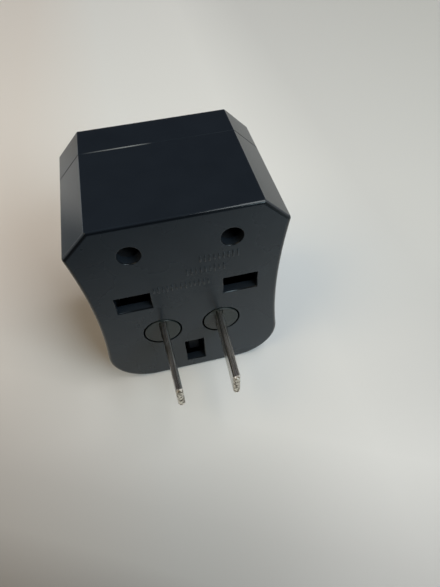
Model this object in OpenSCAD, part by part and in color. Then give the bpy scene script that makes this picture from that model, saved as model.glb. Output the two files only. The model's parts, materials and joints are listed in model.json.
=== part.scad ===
// All-in-one travel adapter: three sets of plug pins slide out of one housing.
// X is across the plug face, Y runs from the plug face (-Y) to the socket face (+Y), Z is up.
// The origin is at the middle of the bottom face. Sizes are in millimetres.

/* [Housing] */
// Height of the body
body_h = 50.3; // [50.3:0.1:51]
// Depth of the body, plug face to socket face
body_d = 31.5; // [31.5:0.1:32.5]
// Width of the flat top, between the chamfers
top_w = 31.2; // [31:0.2:33]
// Width across the waist
waist_w = 38.6; // [38.6:0.2:40]
// Height of the waist
waist_z = 26; // [25.5:0.5:26.5]
// Radius of the hollow sides
waist_r = 125; // [120:5:150]
// Radius of the two bottom corners
corner_r = 10; // [9.5:0.5:10]
// Depth of the front shell, plug face to seam
seam_depth = 22.75; // [22.25:0.25:23.5]
// Thickness of the side walls
side_wall = 1.8; // [1.7:0.1:1.8]
// Thickness of the plug face and of the socket face
end_wall = 2; // [1.8:0.1:2]

/* [US pins] */
// Distance between the blades
blade_pitch = 12.7; // [12.6:0.1:12.8]
// Width of a blade
blade_w = 6.35; // [6.2:0.05:6.4]
// Thickness of a blade
blade_t = 1.5; // [1.4:0.05:1.6]
// Length of a blade in front of the plug face
blade_len = 17; // [16:0.5:18]
// Distance between the turning discs
disc_pitch = 13.3; // [13.2:0.1:13.4]
// Height of the discs
disc_z = 18.1; // [18:0.1:18.2]
// How far the blades slide in
us_travel = 18.5; // [18:0.5:18.5]

/* [European pins] */
// Diameter of a round pin
eu_pin_d = 4; // [3.9:0.1:4]
// Distance between the round pins
eu_pitch = 19; // [18.8:0.1:19.1]
// Length of a round pin in front of the plug face
eu_len = 19; // [18:0.5:19]
// Height of the round pins
eu_z = 43.4; // [43.4:0.1:43.6]
// How far the round pins slide out
eu_travel = 22.5; // [22:0.5:22.5]

/* [UK pins] */
// Width of a live or neutral pin
uk_pin_w = 6.35; // [6.2:0.05:6.4]
// Height of a live or neutral pin
uk_pin_h = 4; // [3.9:0.1:4]
// Distance between the live and neutral pins
uk_pitch = 22.22; // [22.1:0.02:22.3]
// Length of a live or neutral pin in front of the plug face
uk_len = 17.7; // [17.2:0.1:17.7]
// Height of the live and neutral pins
uk_z = 29.75; // [29.7:0.05:29.8]
// Drop from the live and neutral pins to the earth pin
earth_drop = 22.23; // [22.2:0.01:22.26]
// Length of the earth pin in front of the plug face
earth_len = 20.4; // [20:0.1:20.4]
// How far the UK pins slide out
uk_travel = 23; // [22.5:0.5:23]

/* [Socket] */
// Height of the live and neutral holes in the socket face
socket_z = 38; // [37.9:0.05:38.05]

/* [Knobs] */
// Length of a knob along its track
knob_len = 5; // [4.5:0.1:5]
// Height of a knob
knob_h = 5.2; // [4.8:0.1:5.2]
// How far a knob stands out of the side
knob_proud = 1; // [0.8:0.1:1]
// Height of the US knob
us_knob_z = 18; // [17.8:0.1:18.2]
// Height of the European knob
eu_knob_z = 40; // [39.9:0.1:40]
// Height of the UK knob
uk_knob_z = 22; // [21.8:0.1:22.2]

/* [Hidden] */
$fn = 48;
corner_steps = 20;
side_steps = 18;
root2 = sqrt(2);

// Ends of the housing along Y
face_y = -body_d / 2;
rear_y = body_d / 2;
seam_y = face_y + seam_depth;
front_in = face_y + end_wall;
rear_in = rear_y - end_wall;

// Housing section
waist_half = waist_w / 2;
centre_gap = waist_half + waist_r;
corner_x = centre_gap - sqrt(pow(waist_r + corner_r, 2) - pow(waist_z - corner_r, 2));
chamfer_sum = top_w / 2 + body_h;
reach = 30;

// Half-lap joint between the shells
lap = 1.6;
lap_skin = 1;
lap_gap = 0.1;

// Clearances
hole_gap = 0.35;
hole_side_gap = 0.425;
earth_gap = 0.25;
round_gap = 0.175;
fit_gap = 0.03;
turn_gap = 0.05;
screw_gap = 0.15;

// How far one shape runs into the next where they're joined
weld = 0.1;

// Guide rails inside the front shell: half the thickness, and the place of each pair
rail_half = 0.8;
top_rail_x = 6;
top_rail_z = 46.3;
floor_rail_x = 7;
floor_rail_z = 4.6;

// US slider
disc_x = disc_pitch / 2;
blade_x = blade_pitch / 2;
disc_r = 3.95;
disc_hole_r = 4.3;
journal_r = 3;
pad_r = 3.8;
collar_r = 4;
collar_t = 0.7;
blade_neck_w = 4.2;
us_plate_t = 3;
us_plate = [front_in + 0.25, front_in + 0.25 + us_plate_t];
disc_back = us_plate[0] - 0.1;
collar_front = us_plate[1] + 0.1;
blade_shoulder = face_y + 1.15;
us_knob_y = us_plate[1] + 3;
us_arm_z = [us_knob_z - 1.4, us_knob_z + 1.6];
us_arm_t = 2.2;

// European slider
eu_x = eu_pitch / 2;
eu_r = eu_pin_d / 2;
eu_neck_r = 1.6;
eu_sleeve_r = 1.9;
eu_sleeve_len = 10;
eu_plate_t = 3;
eu_plate_y = face_y + 2.25 + eu_travel;
eu_plate = [eu_plate_y, eu_plate_y + eu_plate_t];
eu_bar_x = 12.4;
eu_bar_z = [eu_z - 1.7, eu_z + 2.6];
eu_arm_top = eu_z + 1;
eu_tip = face_y - eu_len + eu_travel;
eu_bare = face_y - eu_sleeve_len + eu_travel;
eu_knob_y = eu_plate[1] - 0.8;
eu_tab_z = 41.1;
eu_tab_t = 0.45;
eu_tab_x = 2.9;

// UK slider
uk_x = uk_pitch / 2;
uk_sleeve_len = 9;
uk_neck_w = uk_pin_w - 0.8;
uk_neck_h = uk_pin_h - 0.8;
uk_plate_t = 2.9;
uk_plate_y = face_y + 2.45 + uk_travel;
uk_plate = [uk_plate_y, uk_plate_y + uk_plate_t];
uk_bar_x = -15;
uk_bar_z = [uk_z - 2.55, uk_z + 2.35];
uk_post_x = 12.4;
uk_foot_z = [5, 10.1];
uk_earth_pad = [[-3, 3], [2.9, 11.4]];
uk_tip = face_y - uk_len + uk_travel;
uk_bare = face_y - uk_sleeve_len + uk_travel;
uk_knob_y = uk_plate[1] - 1.1;
earth_w = 4;
earth_h = 8;
earth_z = uk_z - earth_drop;
earth_tip = face_y - earth_len + uk_travel;
shoe_z = 32.4;
shoe_t = 0.35;
shoe_half = 1;

// Knobs: distances inwards from the side's surface
knob_lift = 0.1;
track_depth = 1.05;
track_gap = 0.4;
flange_out = 2.25;
flange_in = 2.85;
pocket_in = 4.05;
holder_in = 4.5;
neck_w = 2.4;
neck_h = 2.4;
flange_h = 4;
slot_gap = 0.3;
flange_gap = 0.15;
holder_w = 3.8;
holder_h = 5.4;
knob_corner = 0.8;
rib_pitch = 0.9;
rib_gap = 0.45;
rib_depth = 0.3;
rib_margin = 0.7;
leaf_chord = 3.6;
leaf_t = 0.15;
leaf_w = 1.8;

// Socket: openings for UK, European, US and Australian plugs
socket_earth_z = socket_z - earth_drop;
socket_pin_gap = 0.175;
socket_pole_h = uk_pin_h + 2 * socket_pin_gap + 0.05;
socket_eu_r = 2.4;
socket_blade_w = 6.8;
socket_blade_t = 1.6;
au_tilt = 30;

// Contact frame
frame_y = [front_in + 0.05, rear_in - 0.7];
frame_x = 15.2;
frame_z = [32.95, 40.95];
ear_x = 17.3;
ear_z = 36.9;
rib_x = 4.2;
rib_z = 40.5;
cavity_x = [4.2, 14.8];
cavity_z = [35.3, 40.6];
cavity_y = -5;
pole_depth = -3;
clip_t = 0.5;
clip_leaf_t = 0.35;
clip_leaf_x = 7.4;

// Bus bars
bar_x = [1.3, 3.9];
spine_y = [rear_in - 0.6, rear_in - 0.2];
strip_t = 0.25;
eu_strip_z = rib_z + 0.05;
uk_strip_z = frame_z[0] - 0.1;
us_strip_z = 23.2;
us_finger_x = [5.6, 8.2];
uk_finger_x = [10.1, 12.1];
eu_finger_x = [2.6, 3.9];
finger_tip = 1.6;
finger_bend = 1.2;
finger_r = 0.2;
contact_gap = 0.1;

// Lamp
lamp_x = -14.6;
lamp_z = 24.3;
lamp_r = 2;
lamp_y = [2.5, 11.6];
lens_r = 1.6;
lens_flange = 0.7;
lead_r = 0.25;
lead_x = 0.8;
lamp_lead_x = -7;
lamp_lead_y = 1;
resistor_x = 7;
resistor_y = 1.6;
resistor_z = 25.6;
resistor_r = 0.9;
resistor_half = 3.2;

// Screws: [x, z] of each
SCREWS = [[15.7, 44], [-12.5, 6.5]];
boss_r = 2.4;
boss_split = 5;
shank_r = 1.1;
shank_len = 16;
head_r = 1.9;
head_t = 1.2;
head_sink = 1.5;
cross_w = 1.9;
cross_t = 0.45;
cross_depth = 0.7;

LEFT = -1;
RIGHT = 1;

// ---- Shape helpers ----

// A box given by its range along each axis
module slab(x, y, z) {
  translate([x[0], y[0], z[0]]) cube([x[1] - x[0], y[1] - y[0], z[1] - z[0]]);
}

module rect(x, z) {
  translate([x[0], z[0]]) square([x[1] - x[0], z[1] - z[0]]);
}

// Extrudes an XZ outline between two places along Y
module along_y(y0, y1) {
  translate([0, y1, 0]) rotate([90, 0, 0]) linear_extrude(y1 - y0) children();
}

// Extrudes a YZ outline between two places along X
module along_x(x0, x1) {
  translate([x0, 0, 0]) rotate([90, 0, 90]) linear_extrude(x1 - x0) children();
}

module rod_x(r, x, y, z) {
  translate([x[0], y, z]) rotate([0, 90, 0]) cylinder(r = r, h = x[1] - x[0]);
}

module rod_y(r, x, y, z) {
  translate([x, y[1], z]) rotate([90, 0, 0]) cylinder(r = r, h = y[1] - y[0]);
}

module rod_z(r, x, y, z) {
  translate([x, y, z[0]]) cylinder(r = r, h = z[1] - z[0]);
}

// Places what is drawn for the right side on either side
module on_side(s) {
  if (s == LEFT) mirror([1, 0, 0]) children();
  else children();
}

module rounded(w, h, r) {
  square([w - 2 * r, h], center = true);
  square([w, h - 2 * r], center = true);
  for (i = [-1, 1])
    for (j = [-1, 1])
      translate([i * (w / 2 - r), j * (h / 2 - r)]) circle(r);
}

// ---- Housing section ----

// Half-width of the body at height z
function side_x(z) = centre_gap - sqrt(pow(waist_r, 2) - pow(z - waist_z, 2));

// Right half of the body's outline, moved inwards by inset, from the bottom's middle to the top's:
// a round bottom corner that runs into the hollow side, then the chamfer
function half_outline(inset) =
  let (
    r = corner_r - inset,
    side_r = waist_r + inset,
    join_a = asin((waist_z - corner_r) / (waist_r + corner_r)),
    cut = chamfer_sum - inset * root2,
    top_a = 45 + asin((cut - centre_gap - waist_z) / side_r / root2),
    corner = [for (i = [0:corner_steps]) let (a = -90 + (90 + join_a) * i / corner_steps)
      [corner_x + r * cos(a), corner_r + r * sin(a)]],
    side = [for (i = [1:side_steps]) let (a = -join_a + (top_a + join_a) * i / side_steps)
      [centre_gap - side_r * cos(a), waist_z + side_r * sin(a)]]
  )
  concat(corner, side, [[cut - body_h + inset, body_h - inset]]);

module body_outline(inset = 0) {
  right = half_outline(inset);
  left = [for (i = [len(right) - 1:-1:0]) [-right[i][0], right[i][1]]];
  polygon(concat(right, left));
}

// ---- Knobs ----

// A sunk track and a through slot in the side wall, for a knob that runs from y[0] to y[1]
module knob_track(s, z, y) {
  half = knob_len / 2 + track_gap;
  neck = neck_w / 2 + slot_gap;
  on_side(s) {
    along_y(y[0] - half, y[1] + half) difference() {
      rect([corner_x, reach], [z - knob_h / 2 - slot_gap, z + knob_h / 2 + slot_gap]);
      body_outline(track_depth);
    }
    slab([corner_x + 4, reach], [y[0] - neck, y[1] + neck],
         [z - neck_h / 2 - slot_gap, z + neck_h / 2 + slot_gap]);
  }
}

module all_tracks() {
  knob_track(LEFT, us_knob_z, [us_knob_y, us_knob_y + us_travel]);
  knob_track(LEFT, eu_knob_z, [eu_knob_y - eu_travel, eu_knob_y]);
  knob_track(RIGHT, uk_knob_z, [uk_knob_y - uk_travel, uk_knob_y]);
}

// A ribbed plate outside the wall, a neck through the slot and a flange behind it
module knob(s, y, z) {
  x = side_x(z);
  neck_y = [y - neck_w / 2, y + neck_w / 2];
  color("#17181a") on_side(s) {
    difference() {
      translate([0, y, z]) along_x(x + knob_lift, x + knob_proud) rounded(knob_len, knob_h, knob_corner);
      for (i = [-2:2])
        slab([x + knob_proud - rib_depth, x + knob_proud + 1],
             [y + i * rib_pitch - rib_gap / 2, y + i * rib_pitch + rib_gap / 2],
             [z - knob_h / 2 + rib_margin, z + knob_h / 2 - rib_margin]);
    }
    slab([x - flange_out, x + knob_lift], neck_y, [z - neck_h / 2, z + neck_h / 2]);
    slab([x - flange_in, x - flange_out], neck_y, [z - flange_h / 2, z + flange_h / 2]);
  }
}

// The block on a carriage that holds the knob's flange
module knob_holder(s, y, z) {
  x = side_x(z);
  on_side(s)
    slab([x - holder_in, x - flange_out], [y - holder_w / 2, y + holder_w / 2],
         [z - holder_h / 2, z + holder_h / 2]);
}

module knob_pocket(s, y, z) {
  x = side_x(z);
  w = neck_w / 2 + flange_gap;
  h = flange_h / 2 + flange_gap;
  on_side(s) slab([x - pocket_in, x], [y - w, y + w], [z - h, z + h]);
}

// A bowed steel leaf between the pocket's floor and the knob's flange
module knob_leaf(s, y, z) {
  x = side_x(z) - pocket_in;
  bow = pocket_in - flange_in - 0.05;
  r = (pow(leaf_chord / 2, 2) + bow * bow) / (2 * bow);
  color("#9a9da1") on_side(s) along_y(y - leaf_w / 2, y + leaf_w / 2) intersection() {
    translate([x + bow - r, z]) difference() {
      circle(r, $fn = 96);
      circle(r - leaf_t, $fn = 96);
    }
    rect([x, x + bow + 1], [z - leaf_chord, z + leaf_chord]);
  }
}

// ---- Openings ----

// An upright rectangle about a centre
module window(x, z, w, h) {
  translate([x, z]) square([w, h], center = true);
}

module plug_face_holes() {
  window(0, earth_z, earth_w + 2 * earth_gap, earth_h + 2 * earth_gap + turn_gap);
  for (s = [LEFT, RIGHT]) {
    window(s * uk_x, uk_z, uk_pin_w + 2 * hole_side_gap, uk_pin_h + 2 * hole_gap);
    translate([s * eu_x, eu_z]) circle(eu_r + round_gap);
    translate([s * disc_x, disc_z]) circle(disc_hole_r);
  }
}

// One pole's opening: a flat UK slot, a round European hole, an upright and a tilted blade slot
module pole_hole() {
  window(uk_x, socket_z, uk_pin_w + 2 * socket_pin_gap, socket_pole_h);
  translate([eu_x, socket_z]) circle(socket_eu_r);
  window(blade_x, socket_z, socket_blade_t, socket_blade_w);
  translate([disc_x, socket_z]) rotate(au_tilt) square([socket_blade_t, socket_blade_w], center = true);
}

module socket_holes() {
  pole_hole();
  mirror([1, 0]) pole_hole();
  window(0, socket_earth_z, earth_w + 2 * socket_pin_gap, earth_h + 2 * socket_pin_gap);
}

// ---- Housing ----

module screw_bosses(y) {
  for (p = SCREWS) rod_y(boss_r, p[0], y, p[1]);
}

// Rails that keep the carriages straight
module guide_rails() {
  rail_end = seam_y - lap;
  for (s = [LEFT, RIGHT]) {
    slab([s * top_rail_x - rail_half, s * top_rail_x + rail_half], [front_in - weld, rail_end],
         [top_rail_z, body_h - side_wall + weld]);
    slab([s * floor_rail_x - rail_half, s * floor_rail_x + rail_half], [front_in - weld, rail_end],
         [side_wall - weld, floor_rail_z]);
  }
}

module front_shell() {
  color("#16181b") difference() {
    union() {
      difference() {
        along_y(face_y, seam_y) body_outline();
        along_y(front_in, seam_y + 1) body_outline(side_wall);
        along_y(seam_y - lap, seam_y + 1) body_outline(lap_skin);
      }
      screw_bosses([front_in - weld, boss_split]);
      guide_rails();
    }
    along_y(face_y - 1, front_in + 1) plug_face_holes();
    for (p = SCREWS) rod_y(shank_r + turn_gap, p[0], [front_in + 4, boss_split + 1], p[1]);
    all_tracks();
  }
}

module rear_cover() {
  tongue_front = seam_y - lap + lap_gap;
  tongue_outer = lap_skin + lap_gap;
  sleeve_x = [2.2, 2.5];
  sleeve_z = [11.7, 20.1];
  sleeve_front = -6.9;
  color("#16181b") difference() {
    union() {
      difference() {
        along_y(seam_y, rear_y) body_outline();
        along_y(seam_y - 1, rear_in) body_outline(side_wall);
      }
      difference() {
        along_y(tongue_front, seam_y + weld) body_outline(tongue_outer);
        along_y(tongue_front - 1, seam_y + 1) body_outline(side_wall);
      }
      screw_bosses([boss_split + 0.1, rear_in + weld]);
      for (s = [LEFT, RIGHT])
        on_side(s) slab(sleeve_x, [sleeve_front, rear_in + weld], sleeve_z);
    }
    along_y(rear_in - 1, rear_y + 1) socket_holes();
    for (p = SCREWS) {
      rod_y(shank_r + screw_gap, p[0], [boss_split, rear_y + 1], p[1]);
      rod_y(head_r + screw_gap, p[0], [rear_y - head_sink, rear_y + 1], p[1]);
    }
    rod_y(lens_r + turn_gap, lamp_x, [rear_in - 1, rear_y + 1], lamp_z);
    all_tracks();
  }
}

// Cross-headed screws, sunk in the socket face
module housing_screws() {
  head_y = rear_y - head_sink;
  color("#8d9093") for (p = SCREWS) difference() {
    union() {
      rod_y(shank_r, p[0], [head_y - shank_len, head_y + weld], p[1]);
      rod_y(head_r, p[0], [head_y, head_y + head_t], p[1]);
    }
    for (a = [0, 90])
      translate([p[0], head_y + head_t, p[1]]) rotate([0, a, 0])
        cube([cross_w, 2 * cross_depth, cross_t], center = true);
  }
}

// Insulating block with a cavity for each pole, held between the side walls by its ears
module contact_frame() {
  color("#222427") difference() {
    along_y(frame_y[0], frame_y[1]) {
      difference() {
        rect([-frame_x, frame_x], frame_z);
        rect([-rib_x, rib_x], [rib_z, frame_z[1] + 1]);
      }
      rect([-ear_x, ear_x], [frame_z[0], ear_z]);
    }
    for (s = [LEFT, RIGHT]) on_side(s) {
      slab(cavity_x, [cavity_y, frame_y[1] + 1], cavity_z);
      along_y(pole_depth, frame_y[1] + 1) pole_hole();
    }
  }
}

// Sprung brass clip: a back plate, leaves above and below the plug's pin, and one beside the blade
module socket_contact(s) {
  x = [cavity_x[0] + 0.1, cavity_x[1] - 0.15];
  z = [cavity_z[0] + 0.05, cavity_z[1] - 0.05];
  y = [cavity_y + 0.1, frame_y[1] - 0.3];
  color("#b08d3c") on_side(s) {
    slab(x, [y[0], y[0] + clip_t], z);
    for (low = [z[0], z[1] - clip_leaf_t])
      slab([clip_leaf_x, x[1]], y, [low, low + clip_leaf_t]);
    slab([x[0], x[0] + clip_leaf_t], y, [z[0] + 1, z[1] - 1]);
  }
}

// A flat strip along Y with a raised contact at its front end, which reaches up or down by bump
module finger(x, z, bump, bump_y) {
  z_mid = z + strip_t / 2;
  slab(x, [bump_y - finger_tip, spine_y[1]], [z, z + strip_t]);
  hull() {
    rod_x(finger_r, x, bump_y, z_mid + (bump > 0 ? bump - finger_r : bump + finger_r));
    slab(x, [bump_y - finger_bend, bump_y + finger_bend], [z, z + strip_t]);
  }
}

// Stamped strip that joins the socket contact to the US, UK and European contacts
module bus_bar(s) {
  collar_top = disc_z + collar_r;
  eu_bump = eu_tab_z - contact_gap - eu_strip_z - strip_t / 2;
  uk_bump = shoe_z + contact_gap - uk_strip_z + strip_t / 2;
  us_bump = collar_top + contact_gap - us_strip_z - strip_t / 2;
  color("#b08d3c") on_side(s) {
    slab(bar_x, spine_y, [us_strip_z, eu_strip_z + strip_t]);
    slab([bar_x[0], us_finger_x[1]], spine_y, [us_strip_z, us_strip_z + 2.2]);
    slab([bar_x[0], uk_finger_x[1]], spine_y, [uk_strip_z - strip_t, uk_strip_z + 1.4]);
    finger(eu_finger_x, eu_strip_z, eu_bump, eu_plate[1] - eu_travel + eu_tab_t / 2);
    finger(uk_finger_x, uk_strip_z - strip_t, uk_bump, uk_plate[1] - uk_travel + shoe_t / 2);
    finger(us_finger_x, us_strip_z, us_bump, collar_front + collar_t / 2);
  }
}

// ---- Power light ----

module indicator_lamp() {
  round_y = lamp_y[1] - lamp_r;
  color("#e8b59a") {
    rod_y(lamp_r, lamp_x, [lamp_y[0], round_y], lamp_z);
    translate([lamp_x, round_y, lamp_z]) sphere(lamp_r);
    rod_y(lead_r, lamp_x + lead_x, [lamp_lead_y, lamp_y[0] + weld], lamp_z);
    rod_x(lead_r, [lamp_x + lead_x, lamp_lead_x], lamp_lead_y, lamp_z);
    rod_z(lead_r, lamp_lead_x, lamp_lead_y, [us_strip_z + strip_t, lamp_z + lead_r]);
    rod_y(lead_r, lamp_x - lead_x, [resistor_y + lead_r + turn_gap, lamp_y[0] + weld], lamp_z);
  }
}

module lamp_resistor() {
  y = resistor_y;
  top = resistor_z + lead_r;
  color("#c9b48a") {
    rod_x(resistor_r, [-resistor_half, resistor_half], y, resistor_z);
    rod_x(lead_r, [lamp_x - lead_x, resistor_x], y, resistor_z);
    rod_z(lead_r, lamp_x - lead_x, y, [lamp_z, top]);
    rod_z(lead_r, resistor_x, y, [us_strip_z + strip_t, top]);
  }
}

module lamp_lens() {
  back = rear_in - lens_flange;
  color("#a3211c") {
    rod_y(lens_r, lamp_x, [back, rear_y], lamp_z);
    rod_y(lens_r + 0.6, lamp_x, [back - 0.1, rear_in - 0.1], lamp_z);
  }
}

// ---- US slider: blades that also turn to the Australian angle ----

module us_carriage() {
  arm_x = side_x(us_knob_z) - flange_out;
  bridge_z = [disc_z + 2.2, disc_z + pad_r - 0.05];
  color("#26282c") difference() {
    union() {
      along_y(us_plate[0], us_plate[1]) {
        for (s = [LEFT, RIGHT]) translate([s * disc_x, disc_z]) circle(pad_r);
        rect([-disc_x, disc_x], bridge_z);
        rect([-arm_x, -disc_x - journal_r - 0.25], us_arm_z);
      }
      slab([-arm_x, -arm_x + us_arm_t], [us_plate[0], us_knob_y], us_arm_z);
      knob_holder(LEFT, us_knob_y, us_knob_z);
    }
    for (s = [LEFT, RIGHT])
      rod_y(journal_r + turn_gap, s * disc_x, [us_plate[0] - 1, us_plate[1] + 1], disc_z);
    knob_pocket(LEFT, us_knob_y, us_knob_z);
  }
}

// Flush disc with a journal behind it that turns in the carriage
module us_disc(s) {
  half = blade_w / 2 + fit_gap;
  neck = blade_neck_w / 2 + fit_gap;
  x = [s * blade_x - blade_t / 2 - fit_gap, s * blade_x + blade_t / 2 + fit_gap];
  color("#1b1d20") difference() {
    union() {
      rod_y(disc_r, s * disc_x, [face_y, disc_back], disc_z);
      rod_y(journal_r, s * disc_x, [disc_back - weld, collar_front - 0.05], disc_z);
    }
    slab(x, [face_y - 1, blade_shoulder + fit_gap], [disc_z - half, disc_z + half]);
    slab(x, [face_y - 1, collar_front + 1], [disc_z - neck, disc_z + neck]);
  }
}

// Flat blade with a bevelled end and a narrow neck that is riveted over behind the collar
module us_blade(s) {
  bevel = 0.35;
  rivet = 0.4;
  half = blade_w / 2;
  neck = blade_neck_w / 2;
  x = [s * blade_x - blade_t / 2, s * blade_x + blade_t / 2];
  tip = face_y - blade_len;
  rivet_y = collar_front + collar_t + 0.05;
  color("#c9cbcd") {
    hull() {
      slab(x, [tip + 2 * bevel, blade_shoulder], [disc_z - half, disc_z + half]);
      slab([x[0] + bevel, x[1] - bevel], [tip, blade_shoulder],
           [disc_z - half + bevel, disc_z + half - bevel]);
    }
    slab(x, [blade_shoulder - weld, rivet_y], [disc_z - neck, disc_z + neck]);
    slab([x[0] - rivet, x[1] + rivet], [rivet_y, rivet_y + rivet],
         [disc_z - neck - rivet, disc_z + neck + rivet]);
  }
}

module us_collar(s) {
  half = blade_t / 2 + fit_gap;
  neck = blade_neck_w / 2 + fit_gap;
  color("#b08d3c") difference() {
    rod_y(collar_r, s * disc_x, [collar_front, collar_front + collar_t], disc_z);
    slab([s * blade_x - half, s * blade_x + half], [collar_front - 1, collar_front + 2],
         [disc_z - neck, disc_z + neck]);
  }
}

// ---- European slider ----

module eu_carriage() {
  arm_x = side_x(eu_knob_z) - flange_out;
  color("#26282c") difference() {
    union() {
      along_y(eu_plate[0], eu_plate[1]) {
        rect([-eu_bar_x, eu_bar_x], eu_bar_z);
        rect([-arm_x, weld - eu_bar_x], [eu_bar_z[0], eu_arm_top]);
      }
      knob_holder(LEFT, eu_knob_y, eu_knob_z);
    }
    for (s = [LEFT, RIGHT])
      rod_y(eu_neck_r + fit_gap, s * eu_x, [eu_plate[0] - 1, eu_plate[1] + 1], eu_z);
    knob_pocket(LEFT, eu_knob_y, eu_knob_z);
  }
}

// Round pin with a round end, a thinner neck under its sleeve and a contact tab behind the carriage
module eu_pin(s) {
  tab_y = [eu_plate[1] + 0.02, eu_plate[1] + eu_tab_t];
  color("#c9cbcd") on_side(s) {
    translate([eu_x, eu_tip + eu_r, eu_z]) sphere(eu_r);
    rod_y(eu_r, eu_x, [eu_tip + eu_r, eu_bare], eu_z);
    rod_y(eu_neck_r, eu_x, [eu_bare - weld, tab_y[1]], eu_z);
    slab([eu_tab_x, eu_x + 1.4], tab_y, [eu_z - 0.9, eu_z + 0.9]);
    slab([eu_tab_x, bar_x[1]], tab_y, [eu_tab_z, eu_z]);
  }
}

module eu_sleeve(s) {
  color("#26282c") difference() {
    rod_y(eu_sleeve_r, s * eu_x, [eu_bare + fit_gap, eu_plate[0] - fit_gap], eu_z);
    rod_y(eu_neck_r + fit_gap, s * eu_x, [eu_bare - 1, eu_plate[0] + 1], eu_z);
  }
}

// ---- UK slider ----

// C-shaped carriage that goes round the US slider
module uk_carriage() {
  arm_x = side_x(uk_knob_z) - holder_in + 0.75;
  color("#26282c") difference() {
    union() {
      along_y(uk_plate[0], uk_plate[1]) difference() {
        union() {
          rect([uk_bar_x, arm_x], uk_bar_z);
          rect([uk_post_x, arm_x], [uk_foot_z[0], uk_z]);
          rect([0, arm_x], uk_foot_z);
          rect(uk_earth_pad[0], uk_earth_pad[1]);
        }
        for (s = [LEFT, RIGHT]) window(s * uk_x, uk_z, uk_neck_w + 2 * fit_gap, uk_neck_h + 2 * fit_gap);
        window(0, earth_z, earth_w + 2 * fit_gap, earth_h + 2 * fit_gap);
      }
      knob_holder(RIGHT, uk_knob_y, uk_knob_z);
    }
    knob_pocket(RIGHT, uk_knob_y, uk_knob_z);
  }
}

// A flat pin with a bevelled end, from its tip to back
module bevelled_pin(x, w, z, h, tip, back) {
  bevel = 0.7;
  hull() {
    slab([x - w / 2, x + w / 2], [tip + 1.2, back], [z - h / 2, z + h / 2]);
    slab([x - w / 2 + bevel, x + w / 2 - bevel], [tip, back], [z - h / 2 + bevel, z + h / 2 - bevel]);
  }
}

// Flat brass pin with a neck under its sleeve and a contact shoe behind the carriage
module uk_pin(s) {
  w = uk_neck_w / 2;
  h = uk_neck_h / 2;
  back = uk_plate[1];
  color("#c9cbcd") on_side(s) {
    bevelled_pin(uk_x, uk_pin_w, uk_z, uk_pin_h, uk_tip, uk_bare);
    slab([uk_x - w, uk_x + w], [uk_bare - weld, back + weld], [uk_z - h, uk_z + h]);
    slab([uk_x - shoe_half, uk_x + shoe_half], [back + 0.02, back + shoe_t], [uk_z - 1.2, shoe_z]);
  }
}

module uk_sleeve(s) {
  y = [uk_bare + fit_gap, uk_plate[0] - fit_gap];
  color("#26282c") along_y(y[0], y[1]) difference() {
    window(s * uk_x, uk_z, uk_pin_w, uk_pin_h);
    window(s * uk_x, uk_z, uk_neck_w + 2 * fit_gap, uk_neck_h + 2 * fit_gap);
  }
}

// Insulating earth pin, the longest one
module uk_earth_pin() {
  color("#1b1d20") bevelled_pin(0, earth_w, earth_z, earth_h, earth_tip, uk_plate[1]);
}

front_shell();
rear_cover();
housing_screws();
contact_frame();
socket_contact(RIGHT);  // live_socket_contact
socket_contact(LEFT);  // neutral_socket_contact
bus_bar(RIGHT);  // live_bus_bar
bus_bar(LEFT);  // neutral_bus_bar
indicator_lamp();
lamp_resistor();
lamp_lens();
us_carriage();
knob(LEFT, us_knob_y, us_knob_z);  // us_knob
knob_leaf(LEFT, us_knob_y, us_knob_z);  // us_knob_spring
us_disc(LEFT);  // us_left_disc
us_disc(RIGHT);  // us_right_disc
us_blade(LEFT);  // us_left_blade
us_blade(RIGHT);  // us_right_blade
us_collar(LEFT);  // us_left_collar
us_collar(RIGHT);  // us_right_collar
eu_carriage();
knob(LEFT, eu_knob_y, eu_knob_z);  // eu_knob
knob_leaf(LEFT, eu_knob_y, eu_knob_z);  // eu_knob_spring
eu_pin(LEFT);  // eu_left_pin
eu_pin(RIGHT);  // eu_right_pin
eu_sleeve(LEFT);  // eu_left_sleeve
eu_sleeve(RIGHT);  // eu_right_sleeve
uk_carriage();
knob(RIGHT, uk_knob_y, uk_knob_z);  // uk_knob
knob_leaf(RIGHT, uk_knob_y, uk_knob_z);  // uk_knob_spring
uk_pin(RIGHT);  // uk_live_pin
uk_pin(LEFT);  // uk_neutral_pin
uk_sleeve(RIGHT);  // uk_live_sleeve
uk_sleeve(LEFT);  // uk_neutral_sleeve
uk_earth_pin();
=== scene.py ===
"""Looks of the all-in-one travel adapter: moulded shells, plated pins, materials, light and camera."""

import json
import math
import random

import bmesh
import bpy
from mathutils import Matrix, Vector, noise


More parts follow.
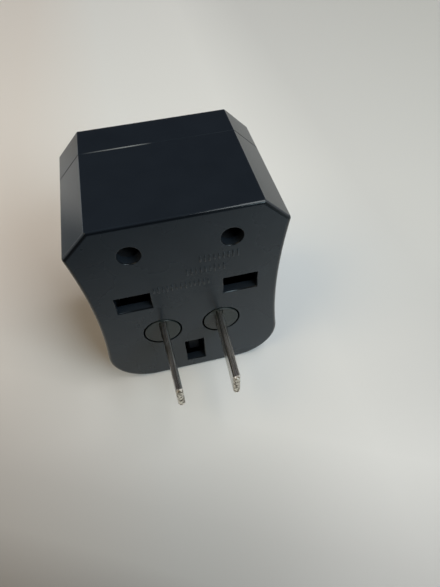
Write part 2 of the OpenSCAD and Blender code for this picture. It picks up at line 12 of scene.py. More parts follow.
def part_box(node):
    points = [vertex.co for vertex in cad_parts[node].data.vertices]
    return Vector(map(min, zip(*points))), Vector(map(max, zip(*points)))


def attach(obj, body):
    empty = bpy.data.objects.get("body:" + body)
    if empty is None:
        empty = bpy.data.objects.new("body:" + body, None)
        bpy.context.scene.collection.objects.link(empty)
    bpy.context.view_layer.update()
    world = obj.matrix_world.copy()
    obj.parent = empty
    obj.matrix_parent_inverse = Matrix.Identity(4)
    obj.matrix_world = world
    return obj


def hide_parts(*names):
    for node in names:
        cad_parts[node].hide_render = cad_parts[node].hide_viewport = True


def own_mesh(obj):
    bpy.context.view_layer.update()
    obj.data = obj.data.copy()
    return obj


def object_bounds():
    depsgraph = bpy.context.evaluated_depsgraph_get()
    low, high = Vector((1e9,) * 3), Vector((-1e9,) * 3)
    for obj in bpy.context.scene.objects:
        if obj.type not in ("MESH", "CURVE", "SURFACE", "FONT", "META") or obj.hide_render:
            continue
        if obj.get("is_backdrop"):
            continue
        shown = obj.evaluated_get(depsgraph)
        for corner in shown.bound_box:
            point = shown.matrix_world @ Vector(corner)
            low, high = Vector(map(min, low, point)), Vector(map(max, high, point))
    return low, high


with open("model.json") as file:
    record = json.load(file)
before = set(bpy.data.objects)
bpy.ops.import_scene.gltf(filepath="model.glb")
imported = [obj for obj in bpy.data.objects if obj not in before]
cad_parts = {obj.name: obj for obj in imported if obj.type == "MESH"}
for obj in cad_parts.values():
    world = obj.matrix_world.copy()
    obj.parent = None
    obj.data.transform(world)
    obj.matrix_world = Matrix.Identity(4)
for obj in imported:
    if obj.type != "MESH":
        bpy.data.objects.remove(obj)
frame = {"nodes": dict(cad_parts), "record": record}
cad_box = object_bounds()

MM = 0.001

# ---- Places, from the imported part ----

face_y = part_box("front_shell")[0].y
rear_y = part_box("rear_cover")[1].y
top_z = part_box("front_shell")[1].z
seam_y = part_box("front_shell")[1].y
knobs_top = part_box("eu_knob")[1].z + 1 * MM
UK_HOLE_GAP = 0.35 * MM
uk_hole_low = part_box("uk_live_pin")[0].z - UK_HOLE_GAP


# ---- Materials ----

class Shader:
    """A material's node tree, with short calls for the nodes used here."""

    def __init__(self, name):
        self.material = bpy.data.materials.new(name)
        self.material.use_nodes = True
        self.tree = self.material.node_tree
        self.bsdf = self.tree.nodes["Principled BSDF"]
        self.coords = self.tree.nodes.new("ShaderNodeTexCoord").outputs["Object"]

    def node(self, kind, **values):
        made = self.tree.nodes.new(kind)
        for name, value in values.items():
            if hasattr(made, name):
                setattr(made, name, value)
            else:
                made.inputs[name.replace("_", " ")].default_value = value
        return made

    def link(self, source, target):
        self.tree.links.new(source, target)

    def set(self, **values):
        for name, value in values.items():
            self.bsdf.inputs[name.replace("_", " ")].default_value = value

    def stretched(self, scale, turn=(0, 0, 0)):
        """Object coordinates turned and scaled, for grain that runs one way."""
        mapping = self.node("ShaderNodeMapping")
        mapping.inputs["Rotation"].default_value = [math.radians(a) for a in turn]
        mapping.inputs["Scale"].default_value = scale
        self.link(self.coords, mapping.inputs["Vector"])
        return mapping.outputs["Vector"]

    def noise(self, scale, detail=2.0, vector=None):
        made = self.node("ShaderNodeTexNoise", Scale=scale, Detail=detail)
        self.link(vector or self.coords, made.inputs["Vector"])
        return made.outputs["Fac"]

    def ramp(self, source, low, high, start=0.0, end=1.0):
        """source between low and high, moved to start and end, and cut off there."""
        made = self.node("ShaderNodeMapRange")
        self.link(source, made.inputs["Value"])
        made.inputs["From Min"].default_value = low
        made.inputs["From Max"].default_value = high
        made.inputs["To Min"].default_value = start
        made.inputs["To Max"].default_value = end
        return made.outputs["Result"]

    def eased(self, source, low, high):
        """0 at low and 1 at high, with a soft start and end."""
        result = self.ramp(source, low, high)
        result.node.interpolation_type = "SMOOTHSTEP"
        return result

    def band(self, source, stops):
        """0 outside the outer two of four stops in millimetres and 1 between the inner two."""
        a, b, c, d = (stop * MM for stop in stops)
        return self.math("MULTIPLY", self.eased(source, a, b), self.eased(source, d, c))

    def math(self, operation, a, b=0):
        made = self.node("ShaderNodeMath", operation=operation)
        for socket, value in zip(made.inputs, (a, b)):
            if isinstance(value, (int, float)):
                socket.default_value = value
            else:
                self.link(value, socket)
        return made.outputs["Value"]

    def mix(self, factor, a, b):
        """Two colours mixed by a factor."""
        made = self.node("ShaderNodeMix", data_type="RGBA")
        self.link(factor, made.inputs[0])
        for socket, colour in ((made.inputs[6], a), (made.inputs[7], b)):
            if isinstance(colour, tuple):
                socket.default_value = (*colour, 1)
            else:
                self.link(colour, socket)
        return made.outputs[2]

    def tinted(self, factor, colour, tint):
        """colour multiplied by tint, as far as factor says."""
        made = self.node("ShaderNodeMix", data_type="RGBA", blend_type="MULTIPLY")
        self.link(factor, made.inputs[0])
        self.link(colour, made.inputs[6])
        made.inputs[7].default_value = (*tint, 1)
        return made.outputs[2]

    def along(self, axis):
        """The object coordinate along one axis, in metres."""
        made = self.node("ShaderNodeSeparateXYZ")
        self.link(self.coords, made.inputs[0])
        return made.outputs[axis]

    def bump(self, height, depth, strength=1.0):
        """Bumps on top of any that are already there. depth is in metres."""
        made = self.node("ShaderNodeBump", Strength=strength, Distance=depth)
        self.link(height, made.inputs["Height"])
        before = self.bsdf.inputs["Normal"].links
        if before:
            self.link(before[0].from_socket, made.inputs["Normal"])
        self.link(made.outputs["Normal"], self.bsdf.inputs["Normal"])


def scratches(shader, seed):
    """A few fine straight scratches in three directions, 1 where there is one."""
    found = None
    for turn in (17, 71, 128):
        grain = shader.stretched((110, 3200, 3200), (turn + seed, turn * 2, turn))
        line = shader.ramp(shader.noise(1.0, 1.0, grain), 0.76, 0.80)
        found = line if found is None else shader.math("MAXIMUM", found, line)
    patches = shader.ramp(shader.noise(90, 2), 0.52, 0.66)
    return shader.math("MULTIPLY", found, patches)


# How strongly plain plastic reflects
SHINE = 0.5

# The shells' plastic on the plug face, on the inner walls and on the seam's lips, and the painted shade
# along the edges
FACE_SHINE = 0.36
FACE_ROUGHER = 0.16
WALLS_SHINE_LEFT = 0.45
WALLS_ROUGHER = 0.35
LIPS_SHINE_LEFT = 0.1
EDGE_SHADE_TINT = (0.25, 0.25, 0.25)
PALE_SEAM_COLOUR = (0.20, 0.21, 0.21)
COOL_REFLECTION = (0.88, 0.97, 1.00, 1)

# Where those finishes and the painted shade start and end, in millimetres. Each pair is the two ends of a
# gradual change
FACE_DEPTH = 0.10
FADE = 0.05
INNER_HALF_WIDTH = (14, 15)
INNER_MARGIN = (2, 3)
LIP_WIDTH = (0.15, 0.20)
PALE_SEAM_FROM = (-15, -7)
PALE_SEAM_TO = (-5, -1)
PALE_SEAM_DEPTH = (0.10, 0.14)
SEAM_SHADE_DEPTH = (0.10, 0.30)
EDGE_SHADE_FROM = (0.005, 0.03)
EDGE_SHADE_TO = (0.14, 0.40)


def rising(s, source, pair):
    """0 below the pair of distances in millimetres and 1 above it."""
    return s.ramp(source, pair[0] * MM, pair[1] * MM)


def falling(s, source, pair):
    """1 below the pair of distances in millimetres and 0 above it."""
    return s.ramp(source, pair[1] * MM, pair[0] * MM)


def behind_face(s):
    """The distance behind the plug face."""
    return s.math("SUBTRACT", s.along("Y"), face_y)


def below_top(s):
    """The distance below the top."""
    return s.math("SUBTRACT", top_z, s.along("Z"))


def hidden_walls(s):
    """1 on the shells' inner walls, such as those of the holes, and 0 on every outer face."""
    skin = (FACE_DEPTH, FACE_DEPTH + FADE)
    found = falling(s, s.math("ABSOLUTE", s.along("X")), INNER_HALF_WIDTH)
    for inside in (rising(s, behind_face(s), skin),
                   rising(s, s.math("SUBTRACT", rear_y, s.along("Y")), skin),
                   rising(s, s.along("Z"), INNER_MARGIN),
                   rising(s, below_top(s), INNER_MARGIN)):
        found = s.math("MULTIPLY", found, inside)
    return found


def seam_lips(s):
    """1 on the lips of the seam, all round the body."""
    return falling(s, s.math("ABSOLUTE", s.math("SUBTRACT", s.along("Y"), seam_y)), LIP_WIDTH)


def pale_seam_stretch(s):
    """1 on the stretch of the top where the seam's lips are coloured paler."""
    stretch = s.math("MULTIPLY", rising(s, s.along("X"), PALE_SEAM_FROM), falling(s, s.along("X"), PALE_SEAM_TO))
    return s.math("MULTIPLY", stretch, falling(s, below_top(s), PALE_SEAM_DEPTH))


def painted_face_edge_shade(s):
    """1 on the front half of the rounded edge all round the plug face, where the colour is darkened as
    painted shade.
    """
    return s.math("MULTIPLY", rising(s, behind_face(s), EDGE_SHADE_FROM), falling(s, behind_face(s), EDGE_SHADE_TO))


def moulded(name, tint, roughness, spread, seed):
    """The start of a moulded plastic: its shader, a clouded colour, and a smeared and scuffed roughness."""
    s = Shader(name)
    paler = tuple(c * 1.35 + 0.001 for c in tint)
    colour = s.mix(s.noise(140, 3), tint, paler)
    smear = s.ramp(s.noise(60, 4), 0.35, 0.75, 0, spread)
    scuffs = s.math("MULTIPLY", scratches(s, seed), 0.06)
    return s, colour, s.math("ADD", s.math("ADD", smear, roughness), scuffs)


def moulded_end(s, colour, rough):
    """The same plastic with its colour and roughness in place and its slightly uneven surface."""
    s.link(colour, s.bsdf.inputs["Base Color"])
    s.link(rough, s.bsdf.inputs["Roughness"])
    s.bump(s.noise(420, 2), 0.012 * MM, 0.35)
    s.set(IOR=1.52)
    return s.material


def moulded_black(name, tint, roughness, spread, seed, shine=SHINE):
    s, colour, rough = moulded(name, tint, roughness, spread, seed)
    s.set(Specular_IOR_Level=shine)
    return moulded_end(s, colour, rough)


def shell_black(name, tint, roughness, spread, seed):
    """The shells' plastic: finely textured on the plug face, dull in the holes, with painted shade along its
    edges and in the seam.
    """
    s, colour, rough = moulded(name, tint, roughness, spread, seed)
    on_face = falling(s, behind_face(s), (FACE_DEPTH - FADE, FACE_DEPTH))
    walls = hidden_walls(s)
    lips = seam_lips(s)
    rough = s.math("ADD", rough, s.math("MULTIPLY", on_face, FACE_ROUGHER))
    rough = s.math("ADD", rough, s.math("MULTIPLY", walls, WALLS_ROUGHER))

    shine = s.ramp(on_face, 0, 1, SHINE, FACE_SHINE)
    shine = s.math("MULTIPLY", shine, s.ramp(walls, 0, 1, 1, WALLS_SHINE_LEFT))
    shine = s.math("MULTIPLY", shine, s.ramp(lips, 0, 1, 1, LIPS_SHINE_LEFT))
    s.link(shine, s.bsdf.inputs["Specular IOR Level"])
    s.set(Specular_Tint=COOL_REFLECTION)

    # Painted shade: the seam's lips are darkened in colour, except near the top
    painted_seam_shade = s.math("MULTIPLY", lips, rising(s, below_top(s), SEAM_SHADE_DEPTH))
    # Painted shade: the colour is darkened along the front half of the rounded edge round the plug face, and
    # on the seam's lips
    painted_edge_shade = s.math("MAXIMUM", painted_face_edge_shade(s), painted_seam_shade)
    colour = s.tinted(painted_edge_shade, colour, EDGE_SHADE_TINT)
    # The seam's lips are coloured paler on a stretch of the top's left part
    colour = s.mix(s.math("MULTIPLY", lips, pale_seam_stretch(s)), colour, PALE_SEAM_COLOUR)

    s.bump(s.math("MULTIPLY", s.noise(5200, 2), on_face), 0.010 * MM, 0.6)
    return moulded_end(s, colour, rough)


# The sheared end of a blade: its length, and the colours of its dark and bright grains
BLADE_END = 0.55 * MM
SHEARED_DARK = (0.10, 0.08, 0.055)
SHEARED_BRIGHT = (0.88, 0.84, 0.75)


def plated(name, tint, worn, roughness, end_y=None):
    """Nickel plating with grain along Y and faint stains. In front of end_y the metal is sheared."""
    s = Shader(name)
    grain = s.noise(1.0, 1, s.stretched((6500, 110, 6500)))
    stain = s.ramp(s.noise(420, 3), 0.40, 0.75)
    colour = s.mix(stain, tint, worn)
    rough = s.math("ADD", s.ramp(grain, 0.25, 0.75, 0, 0.10), roughness)
    s.bump(grain, 0.003 * MM, 0.2)
    if end_y is not None:
        at_end = s.ramp(s.along("Y"), end_y + 0.15 * MM, end_y - 0.05 * MM)
        torn = s.ramp(s.noise(1500, 3), 0.42, 0.58)
        colour = s.mix(at_end, colour, s.mix(torn, SHEARED_DARK, SHEARED_BRIGHT))
        rough = s.math("ADD", rough, s.math("MULTIPLY", at_end, 0.15))
        s.bump(s.math("MULTIPLY", s.noise(2600, 2), at_end), 0.08 * MM, 0.8)
    s.link(colour, s.bsdf.inputs["Base Color"])
    s.link(rough, s.bsdf.inputs["Roughness"])
    s.set(Metallic=1.0)
    return s.material


def stamped_metal(name, tint, roughness):
    """Brass or steel sheet, clouded and slightly pitted."""
    s = Shader(name)
    cloud = s.noise(500, 3)
    darker = tuple(c * 0.72 for c in tint)
    s.link(s.mix(cloud, darker, tint), s.bsdf.inputs["Base Color"])
    s.link(s.math("ADD", s.ramp(cloud, 0.3, 0.8, 0, 0.2), roughness), s.bsdf.inputs["Roughness"])
    s.bump(s.noise(3000, 2), 0.004 * MM, 0.4)
    s.set(Metallic=1.0)
    return s.material


def matt_moulding(name, tint):
    """Unpolished insulating plastic, as used inside."""
    s = Shader(name)
    cloud = s.noise(220, 3)
    s.link(s.mix(cloud, tuple(c * 0.86 for c in tint), tint), s.bsdf.inputs["Base Color"])
    s.link(s.ramp(cloud, 0.2, 0.8, 0.38, 0.55), s.bsdf.inputs["Roughness"])
    s.bump(s.noise(1800, 2), 0.01 * MM, 0.5)
    return s.material


def banded(name, tint, bands):
    """Lacquered resistor body with coloured bands, each at its place along X in millimetres."""
    s = Shader(name)
    x = s.along("X")
    colour = None
    for place, band in bands:
        away = s.math("ABSOLUTE", s.math("SUBTRACT", x, place * MM))
        inside = s.ramp(away, 0.38 * MM, 0.30 * MM)
        colour = s.mix(inside, colour or tint, band)
    s.link(colour, s.bsdf.inputs["Base Color"])
    s.link(s.ramp(s.noise(900, 2), 0.2, 0.8, 0.2, 0.34), s.bsdf.inputs["Roughness"])
    return s.material


def clear(name, tint, roughness):
    """Clear or coloured glass or plastic."""
    s = Shader(name)
    s.link(s.ramp(s.noise(600, 2), 0.3, 0.8, roughness, roughness + 0.08), s.bsdf.inputs["Roughness"])
    s.set(Base_Color=(*tint, 1), Transmission_Weight=0.85, IOR=1.5)
    return s.material


BAND_BROWN = (0.35, 0.16, 0.04)
BAND_BLACK = (0.02, 0.02, 0.02)
BAND_ORANGE = (0.6, 0.32, 0.02)
BAND_GOLD = (0.5, 0.36, 0.1)

MATERIALS = {
    "shell_plastic": shell_black("shell_black", (0.0100, 0.0135, 0.0180),
                                 roughness=0.09, spread=0.06, seed=3),
    "disc_plastic": moulded_black("disc_black", (0.0048, 0.0102, 0.0098),
                                  roughness=0.24, spread=0.08, seed=31, shine=0.42),
    "knob_plastic": moulded_black("knob_black", (0.010, 0.011, 0.012), roughness=0.38, spread=0.1, seed=57),
    "slider_plastic": moulded_black("slider_black", (0.010, 0.011, 0.012),
                                    roughness=0.38, spread=0.1, seed=11),
    "sleeve_plastic": moulded_black("sleeve_black", (0.006, 0.007, 0.009),
                                    roughness=0.40, spread=0.1, seed=23, shine=0.12),
    "frame_plastic": matt_moulding("frame_black", (0.020, 0.021, 0.023)),
    "plated_blade": plated("blade_nickel", (0.56, 0.54, 0.50), worn=(0.40, 0.375, 0.33), roughness=0.23,
                           end_y=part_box("us_left_blade")[0].y + BLADE_END),
    "plated_pin": plated("pin_nickel", (0.66, 0.65, 0.61), worn=(0.50, 0.48, 0.43), roughness=0.16),
    "contact_brass": stamped_metal("stamped_brass", (0.62, 0.44, 0.17), roughness=0.22),
    "spring_steel": stamped_metal("rolled_spring_steel", (0.42, 0.43, 0.45), roughness=0.24),
    "screw_steel": stamped_metal("zinc_screw", (0.52, 0.52, 0.50), roughness=0.26),
    "lamp_glass": clear("lamp_glass", (0.98, 0.86, 0.76), roughness=0.03),
    "resistor_body": banded("resistor_lacquer", (0.55, 0.44, 0.28),
                            ((-1.9, BAND_BROWN), (-0.8, BAND_BLACK), (0.3, BAND_ORANGE), (1.9, BAND_GOLD))),
    "lens_red": clear("lens_red", (0.62, 0.02, 0.015), roughness=0.08),
}


def dress(obj, slot):
    obj.data.materials.clear()
    obj.data.materials.append(MATERIALS[slot])


# ---- Skins: a CAD piece's own shape with its moulded edges rounded ----

SHARP = math.radians(25)


def at(value, target, slack=0.02 * MM):
    return abs(value - target) < slack


def along_y(direction):
    return abs(direction.y) > 0.99


def flat_mesh(node):
    """The node's mesh with its triangles joined into flat faces."""
    bm = bmesh.new()
    bm.from_mesh(frame["nodes"][node].data)
    bmesh.ops.remove_doubles(bm, verts=bm.verts, dist=0.002 * MM)
    bmesh.ops.dissolve_limit(bm, angle_limit=math.radians(0.25), verts=bm.verts, edges=bm.edges)
    bm.normal_update()
    return bm


def outer_loop(bm, y):
    """The sharp edges joined to the widest corner of the face at y: its outline, and none of its holes."""
    loop, waiting = set(), [max((v for v in bm.verts if at(v.co.y, y)), key=lambda v: v.co.x)]
    while waiting:
        vert = waiting.pop()
        for edge in vert.link_edges:
            other = edge.other_vert(vert)
            if edge not in loop and at(other.co.y, y) and edge.calc_face_angle(0) > SHARP:
                loop.add(edge)
                waiting.append(other)
    return loop


def body_outline():
    bm = flat_mesh("front_shell")
    sides = [[Vector((v.co.x, v.co.z)) for v in edge.verts] for edge in outer_loop(bm, face_y)]
    bm.free()
    return sides


def off_line(p, a, b):
    along = (p - a).dot(b - a) / (b - a).length_squared
    return (p - a - (b - a) * min(1, max(0, along))).length


def on_outline(point, sides):
    p = Vector((point.x, point.z))
    return any(off_line(p, a, b) < 0.03 * MM for a, b in sides)


def rounded_skin(node, slot, radius_of, segments=3):
    """A piece that stands for node, each outward corner edge rounded by radius_of(middle, direction)."""
    bm = flat_mesh(node)
    weight = bm.edges.layers.float.new("bevel_weight_edge")
    for edge in bm.edges:
        if len(edge.link_faces) == 2 and edge.is_convex and edge.calc_face_angle(0) > SHARP:
            a, b = (v.co for v in edge.verts)
            edge[weight] = radius_of((a + b) / 2, (b - a).normalized())
    mesh = bpy.data.meshes.new(node + "_skin")
    bm.to_mesh(mesh)
    bm.free()
    skin = bpy.data.objects.new(node + "_skin", mesh)
    bpy.context.scene.collection.objects.link(skin)
    bevel = skin.modifiers.new("round", "BEVEL")
    bevel.limit_method = "WEIGHT"
    bevel.width = 1 * MM
    bevel.segments = segments
    bevel.use_clamp_overlap = False
    bevel.miter_outer = "MITER_ARC"
    mesh.shade_smooth()
    mesh.set_sharp_from_angle(angle=math.radians(50))
    weighted = skin.modifiers.new("weighted_normals", "WEIGHTED_NORMAL")
    weighted.keep_sharp = True
    bpy.context.view_layer.update()
    solid = bpy.data.meshes.new_from_object(skin.evaluated_get(bpy.context.evaluated_depsgraph_get()))
    skin.modifiers.clear()
    skin.data = solid
    dress(skin, slot)
    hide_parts(node)
    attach(skin, body_with(node))
    return skin


def body_with(node):
    bodies = frame["record"]["behaviour"]["bodies"]
    return next(body for body, members in bodies.items() if node in members)


# Radii of the shells' rounded edges, in millimetres
FACE_RADIUS = 0.75
HOLE_RADIUS = 0.15
UK_HOLE_LOW_RADIUS = 0.32
REAR_RADIUS = 0.80
SOCKET_RADIUS = 0.22
TOP_RIDGE_RADIUS = 0.08
CHAMFER_RIDGE_RADIUS = 0.30
TRACK_RADIUS = 0.12
SEAM_RADIUS = 0.14


def shell_skins():
    """The two halves of the housing, with every outer edge and every hole's lip rounded."""
    sides = body_outline()

    def radius_of(middle, direction):
        outer = on_outline(middle, sides)
        if at(middle.y, face_y):
            under_uk_hole = abs(direction.x) > 0.99 and at(middle.z, uk_hole_low, 0.2 * MM)
            return FACE_RADIUS if outer else UK_HOLE_LOW_RADIUS if under_uk_hole else HOLE_RADIUS
        if at(middle.y, rear_y):
            return REAR_RADIUS if outer else SOCKET_RADIUS
        if not outer:
            return 0
        if not along_y(direction):
            return SEAM_RADIUS
        if at(middle.z, top_z):
            return TOP_RIDGE_RADIUS
        return CHAMFER_RIDGE_RADIUS if middle.z > knobs_top else TRACK_RADIUS

    rounded_skin("front_shell", "shell_plastic", radius_of, 4)
    rounded_skin("rear_cover", "shell_plastic", radius_of, 4)


# How far each blade's tip has come in towards the other, as a slope
BLADE_LEAN = {"left": 0.045, "right": 0.018}

# The blades' corners, and the grains of their sheared ends, in millimetres
BLADE_RADIUS = 0.34
BLADE_TIP_RADIUS = 0.10
END_FACET = 0.14
END_ROUGHNESS = 0.07
COARSE_GRAIN = 0.28
FINE_GRAIN = 0.11


def blade(node, lean):
    """A blade with rolled edges and a sheared end, leaning in towards the other one."""
    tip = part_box(node)[0].y

    def radius_of(middle, direction):
        if middle.y > face_y:
            return 0
        return BLADE_RADIUS if along_y(direction) else BLADE_TIP_RADIUS

    mesh = rounded_skin(node, "plated_blade", radius_of).data
    bm = bmesh.new()
    bm.from_mesh(mesh)
    for _ in range(4):
        coarse = [e for e in bm.edges if e.calc_length() > END_FACET * MM
                  and all(v.co.y < tip + BLADE_END * 1.3 for v in e.verts)]
        bmesh.ops.subdivide_edges(bm, edges=coarse, cuts=1)
        bmesh.ops.triangulate(bm, faces=[f for f in bm.faces if len(f.verts) > 3])
    bm.normal_update()
    for v in bm.verts:
        if v.co.y < tip + BLADE_END:
            grain = noise.noise(v.co / (COARSE_GRAIN * MM)) + 0.5 * noise.noise(v.co / (FINE_GRAIN * MM))
            v.co.y += END_ROUGHNESS * MM * (1 + grain)
    inwards = -math.copysign(lean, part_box(node)[0].x)
    for v in bm.verts:
        v.co.x += inwards * max(0, face_y - v.co.y)
    bm.to_mesh(mesh)
    bm.free()


# Raised ribs, in millimetres: height above the bottom and the two ends of each row
MARK_ROWS = [(39.0, 3.2, 11.0), (36.0, 0.4, 8.0), (32.4, -6.6, 4.8)]
MARK_PITCH = 0.92
MARK_WIDTH = 0.38
MARK_HEIGHT = (1.4, 2.0)
MARK_RISE = 0.09


def face_marks():
    """Rows of plain raised ribs on the plug face, between the holes."""
    random.seed(12)
    bm = bmesh.new()
    for z, start, end in MARK_ROWS:
        x = start
        while x < end:
            height = random.uniform(*MARK_HEIGHT)
            bar = bmesh.ops.create_cube(bm, size=1)["verts"]
            for v in bar:
                v.co = Vector(((x + v.co.x * MARK_WIDTH) * MM, face_y + v.co.y * MARK_RISE * 2 * MM,
                               (z + v.co.z * height) * MM))
            x += MARK_PITCH
    bmesh.ops.bevel(bm, geom=bm.edges[:], offset=MARK_RISE * 0.9 * MM, segments=2,
                    affect="EDGES", profile=0.5)
    mesh = bpy.data.meshes.new("face_marks")
    bm.to_mesh(mesh)
    bm.free()
    mesh.shade_smooth()
    marks = bpy.data.objects.new("face_marks", mesh)
    bpy.context.scene.collection.objects.link(marks)
    dress(marks, "shell_plastic")
    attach(marks, "housing")


# Radii of the smaller pieces' rounded edges, in millimetres
DISC_RADIUS = 0.12
PIN_RADIUS = 0.22
KNOB_RADIUS = 0.12

# How far from its front a pin is rounded, and how thick a knob's rounded pad is, in millimetres
PIN_FRONT = 5
KNOB_PAD = 0.45


def small_skins():
    """The discs, the UK pins with their sleeves, and the knobs."""
    def disc_rim(middle, direction):
        return DISC_RADIUS if at(middle.y, face_y) else 0

    def pin_front(middle, direction):
        return PIN_RADIUS if middle.y < in_front else 0

    def sleeve_corner(middle, direction):
        return PIN_RADIUS if along_y(direction) else 0

    def knob_pad(middle, direction):
        return KNOB_RADIUS if abs(middle.x) > outside - KNOB_PAD * MM else 0

    for node in ("us_left_disc", "us_right_disc"):
        rounded_skin(node, "disc_plastic", disc_rim)
    uk_pins = {"uk_live_pin": "plated_pin", "uk_neutral_pin": "plated_pin", "uk_earth_pin": "sleeve_plastic"}
    for node, slot in uk_pins.items():
        in_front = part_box(node)[0].y + PIN_FRONT * MM
        rounded_skin(node, slot, pin_front)
    for node in ("uk_live_sleeve", "uk_neutral_sleeve"):
        rounded_skin(node, "sleeve_plastic", sleeve_corner)
    for node in ("us_knob", "eu_knob", "uk_knob"):
        outside = max(abs(corner.x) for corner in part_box(node))
        rounded_skin(node, "knob_plastic", knob_pad, 2)


def knob_springs():
    """The knobs' leaf springs, which on the real thing flatten against their seat as the knob is pressed:
    each here is an unchanged copy of its CAD piece, in spring steel.
    """
    for joint in frame["record"]["behaviour"]["joints"]:
        for spring in joint.get("deforming_nodes", []):
            node = spring["node"]
            low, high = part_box(node)
            leaf = bpy.data.objects.new(node + "_skin", frame["nodes"][node].data.copy())
            bpy.context.scene.collection.objects.link(leaf)
            dress(leaf, "spring_steel")
            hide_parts(node)
            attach(leaf, body_with(node))
            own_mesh(leaf)


# ---- Stage, light and camera ----

# Table colour at distances across it, in millimetres, from the viewer's shade to the light
FLOOR_SHADE = [
    (-130, (0.10, 0.10, 0.097)),
    (-78, (0.20, 0.20, 0.194)),
    (-66, (0.37, 0.37, 0.360)),
    (-55, (0.44, 0.44, 0.428)),
    (-45, (0.53, 0.53, 0.515)),
    (-30, (0.67, 0.67, 0.65)),
    (0, (0.73, 0.73, 0.71)),
    (40, (0.80, 0.80, 0.77)),
    (80, (0.82, 0.82, 0.79)),
]
# Painted shade on the table: warmer and darker towards the left, and darker towards the right and far right
WARM_SHADE_TINT = (0.98, 0.92, 0.88)
RIGHT_SHADE_TINT = (0.84, 0.84, 0.84)
FAR_RIGHT_SHADE_TINT = (0.90, 0.90, 0.88)

# A soft shade on the table's far left, out of the camera's view, which the left chamfer's front end
# reflects: where it starts, is full, and ends again, along X + Y and along Y - X, in millimetres
FAR_LEFT_ACROSS = (-150, -50, -12, 45)
FAR_LEFT_OUTWARD = (200, 330, 480, 760)
FAR_LEFT_TINT = (0.12, 0.14, 0.16)
FAR_LEFT_SHINE = 0.08


def floor():
    """A pale glossy table that falls into shade towards the viewer's left."""
    bpy.ops.mesh.primitive_plane_add(size=3, location=(0, 0, -0.02 * MM))
    table = bpy.context.object
    table.name = "floor"
    s = Shader("floor_white")
    x, y = s.along("X"), s.along("Y")

    shade = s.node("ShaderNodeValToRGB")
    stops = shade.color_ramp.elements
    stops[0].position = 0
    stops[0].color = (*FLOOR_SHADE[0][1], 1)
    stops[1].position = 1
    stops[1].color = (*FLOOR_SHADE[-1][1], 1)
    near, far = FLOOR_SHADE[0][0], FLOOR_SHADE[-1][0]
    for place, grey in FLOOR_SHADE[1:-1]:
        stops.new((place - near) / (far - near)).color = (*grey, 1)
    towards_light = s.math("ADD", y, s.math("MULTIPLY", x, 0.5))
    s.link(s.ramp(towards_light, near * MM, far * MM), shade.inputs["Fac"])

    far_left = s.math("MULTIPLY", s.band(s.math("ADD", x, y), FAR_LEFT_ACROSS),
                      s.band(s.math("SUBTRACT", y, x), FAR_LEFT_OUTWARD))
    s.link(s.ramp(far_left, 0, 1, SHINE, FAR_LEFT_SHINE), s.bsdf.inputs["Specular IOR Level"])
    # Painted shade: the table's colour is made warmer and darker towards the left, and darker towards the
    # right and far right
    colour = s.tinted(s.ramp(x, -12 * MM, -50 * MM), shade.outputs["Color"], WARM_SHADE_TINT)
    colour = s.tinted(far_left, colour, FAR_LEFT_TINT)
    colour = s.tinted(s.ramp(x, 35 * MM, 70 * MM), colour, RIGHT_SHADE_TINT)
    colour = s.tinted(s.ramp(x, 70 * MM, 170 * MM), colour, FAR_RIGHT_SHADE_TINT)
    s.link(colour, s.bsdf.inputs["Base Color"])
    s.set(Roughness=0.3, IOR=1.45)
    table.data.materials.append(s.material)
    table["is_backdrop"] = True


# Soft lights: place in metres, width and height, power in watts and colour
LIGHTS = [
    ("overhead_right", (0.50, -0.12, 1.00), (0.70, 0.70), 5.9, (1.00, 0.99, 0.98)),
    ("overhead_left", (-0.68, -0.20, 1.00), (0.70, 0.70), 4.45, (1.00, 0.79, 0.51)),
    ("window_left", (-1.00, 0.80, 0.35), (0.90, 0.40), 1.25, (0.72, 0.87, 1.00)),
    ("front_right", (0.70, -0.90, 0.80), (0.70, 0.70), 12.6, (0.77, 0.92, 1.00)),
]

# Tones of the room: the walls to the sides and back, overhead, and behind the viewer
HORIZON = (0.585, 0.575, 0.570)
OVERHEAD = (0.009, 0.007, 0.018)
VIEWER_SIDE = (0.020, 0.022, 0.025)


def softbox(name, place, size, power, colour):
    data = bpy.data.lights.new(name, "AREA")
    data.shape = "RECTANGLE"
    data.size, data.size_y = size
    data.energy = power
    data.color = colour
    lamp = bpy.data.objects.new(name, data)
    lamp.location = place
    lamp.rotation_mode = "QUATERNION"
    lamp.rotation_quaternion = (-Vector(place)).to_track_quat("-Z", "Y")
    bpy.context.scene.collection.objects.link(lamp)


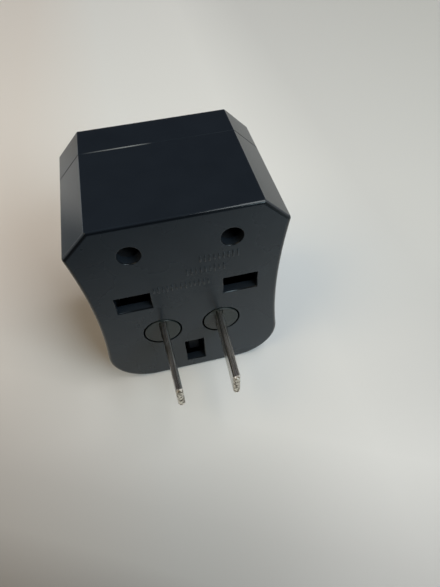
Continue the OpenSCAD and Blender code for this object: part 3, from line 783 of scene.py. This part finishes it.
def room():
    """A dim room with pale walls to the sides and back, seen in the reflections."""
    world = bpy.data.worlds.new("room")
    bpy.context.scene.world = world
    world.use_nodes = True
    tree = world.node_tree
    direction = tree.nodes.new("ShaderNodeTexCoord").outputs["Generated"]
    parts = tree.nodes.new("ShaderNodeSeparateXYZ")
    tree.links.new(direction, parts.inputs[0])

    def blend(axis, low, high):
        """A colour mix that goes from its first colour to its second as one part of the direction rises."""
        rise = tree.nodes.new("ShaderNodeMapRange")
        tree.links.new(parts.outputs[axis], rise.inputs["Value"])
        rise.inputs["From Min"].default_value = low
        rise.inputs["From Max"].default_value = high
        made = tree.nodes.new("ShaderNodeMix")
        made.data_type = "RGBA"
        tree.links.new(rise.outputs["Result"], made.inputs[0])
        return made

    walls = blend("Y", -0.55, -0.10)
    walls.inputs[6].default_value = (*VIEWER_SIDE, 1)
    walls.inputs[7].default_value = (*HORIZON, 1)
    whole = blend("Z", 0.15, 0.40)
    tree.links.new(walls.outputs[2], whole.inputs[6])
    whole.inputs[7].default_value = (*OVERHEAD, 1)
    tree.links.new(whole.outputs[2], tree.nodes["Background"].inputs["Color"])


def lighting():
    room()
    for light in LIGHTS:
        softbox(*light)
    bpy.context.scene.view_settings.view_transform = "Standard"


# The viewpoint: where the camera stands, the point it looks at, and how far it is tilted sideways
CAMERA_AT = Vector((-4.41, -72.17, 100.98)) * MM
CAMERA_AIM = Vector((7.47, -11.72, 22.21)) * MM
CAMERA_ROLL = -2.76
LENS = 27.29


def camera():
    data = bpy.data.cameras.new("camera")
    data.sensor_width = 36
    data.lens = LENS
    data.clip_start = 1 * MM
    eye = bpy.data.objects.new("camera", data)
    eye.location = CAMERA_AT
    eye.rotation_mode = "QUATERNION"
    look = (CAMERA_AIM - CAMERA_AT).to_track_quat("-Z", "Y")
    roll = Matrix.Rotation(math.radians(CAMERA_ROLL), 3, "Z").to_quaternion()
    eye.rotation_quaternion = look @ roll
    bpy.context.scene.collection.objects.link(eye)
    bpy.context.scene.camera = eye


# ---- Build ----

for piece in frame["record"]["subparts"]:
    dress(frame["nodes"][piece["node"]], piece["material_slot"])

camera()
shell_skins()
small_skins()
blade("us_left_blade", BLADE_LEAN["left"])
blade("us_right_blade", BLADE_LEAN["right"])
knob_springs()
face_marks()
floor()
lighting()

visual_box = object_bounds()
[[list(corner) for corner in box] for box in (cad_box, visual_box)]
